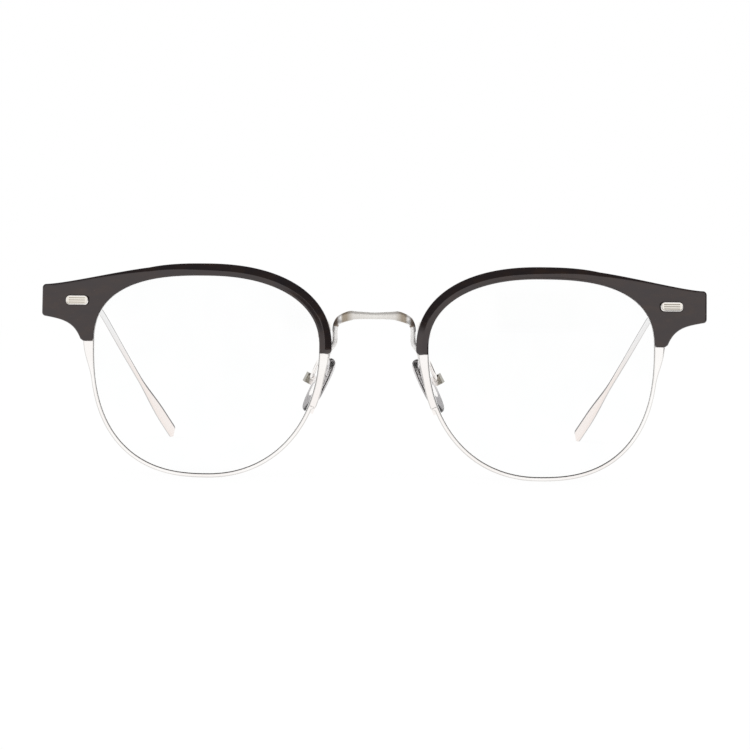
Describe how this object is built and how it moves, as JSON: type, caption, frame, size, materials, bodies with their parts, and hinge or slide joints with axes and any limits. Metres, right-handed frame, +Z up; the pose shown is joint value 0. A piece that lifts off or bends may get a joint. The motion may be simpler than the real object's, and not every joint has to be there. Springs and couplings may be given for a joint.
{
  "type": "browline glasses",
  "caption": "Open browline glasses: acetate brows on thin metal eyewires, a saddle bridge, rocking nose pads and slim metal temples that fold.",
  "frame": {"origin": "on the table, under the middle of the open glasses", "axes": "+X to the wearer's left, +Y from the front towards the temple tips, +Z up"},
  "size_m": [0.141, 0.1554, 0.0451],
  "materials": {
    "silver_metal": "polished warm silver plating",
    "temple_metal": "polished warm silver plating",
    "plaque_metal": "satin, fine grooves along its length",
    "screw_steel": "turned, slotted heads",
    "acetate": "polished dark brown acetate, nearly black",
    "lens": "clear, untinted",
    "pad_silicone": "smoky translucent, smooth"
  },
  "bodies": {
    "front": {"bridge": "silver_metal", "rim_left": "silver_metal", "rim_right": "silver_metal", "lens_left": "lens", "lens_right": "lens", "rim_block_left": "silver_metal", "rim_block_right": "silver_metal", "rim_block_screws": "screw_steel", "brow_left": "acetate", "brow_right": "acetate", "plaque_left": "plaque_metal", "plaque_right": "plaque_metal", "lug_left": "silver_metal", "lug_right": "silver_metal", "brow_tab_left": "silver_metal", "brow_tab_right": "silver_metal", "brow_screws": "screw_steel", "hinge_front_left": "silver_metal", "hinge_front_right": "silver_metal", "hinge_screw_left": "screw_steel", "hinge_screw_right": "screw_steel", "pad_arm_left": "silver_metal", "pad_arm_right": "silver_metal", "pad_box_left": "silver_metal", "pad_box_right": "silver_metal", "pad_screws": "screw_steel"},
    "left_temple": {"temple_left": "temple_metal", "hinge_rear_left": "silver_metal"},
    "right_temple": {"temple_right": "temple_metal", "hinge_rear_right": "silver_metal"},
    "left_pad": {"nose_pad_left": "pad_silicone", "pad_core_left": "silver_metal"},
    "right_pad": {"nose_pad_right": "pad_silicone", "pad_core_right": "silver_metal"}
  },
  "joints": [
    {"name": "left_temple_fold", "type": "hinge", "parent": "front", "child": "left_temple", "pos_m": [0.065, -0.06102, 0.037], "axis": [0, 0, 1], "range_deg": [0, 88]},
    {"name": "right_temple_fold", "type": "hinge", "parent": "front", "child": "right_temple", "pos_m": [-0.065, -0.06102, 0.037], "axis": [0, 0, -1], "range_deg": [0, 84.5]},
    {"name": "left_pad_rock", "type": "hinge", "parent": "front", "child": "left_pad", "pos_m": [0.0135, -0.06848, 0.02088], "axis": [0.2296, 0.9659, 0.1195], "range_deg": [-10, 10]},
    {"name": "right_pad_rock", "type": "hinge", "parent": "front", "child": "right_pad", "pos_m": [-0.0135, -0.06848, 0.02088], "axis": [-0.2296, 0.9659, 0.1195], "range_deg": [-10, 10]}
  ]
}
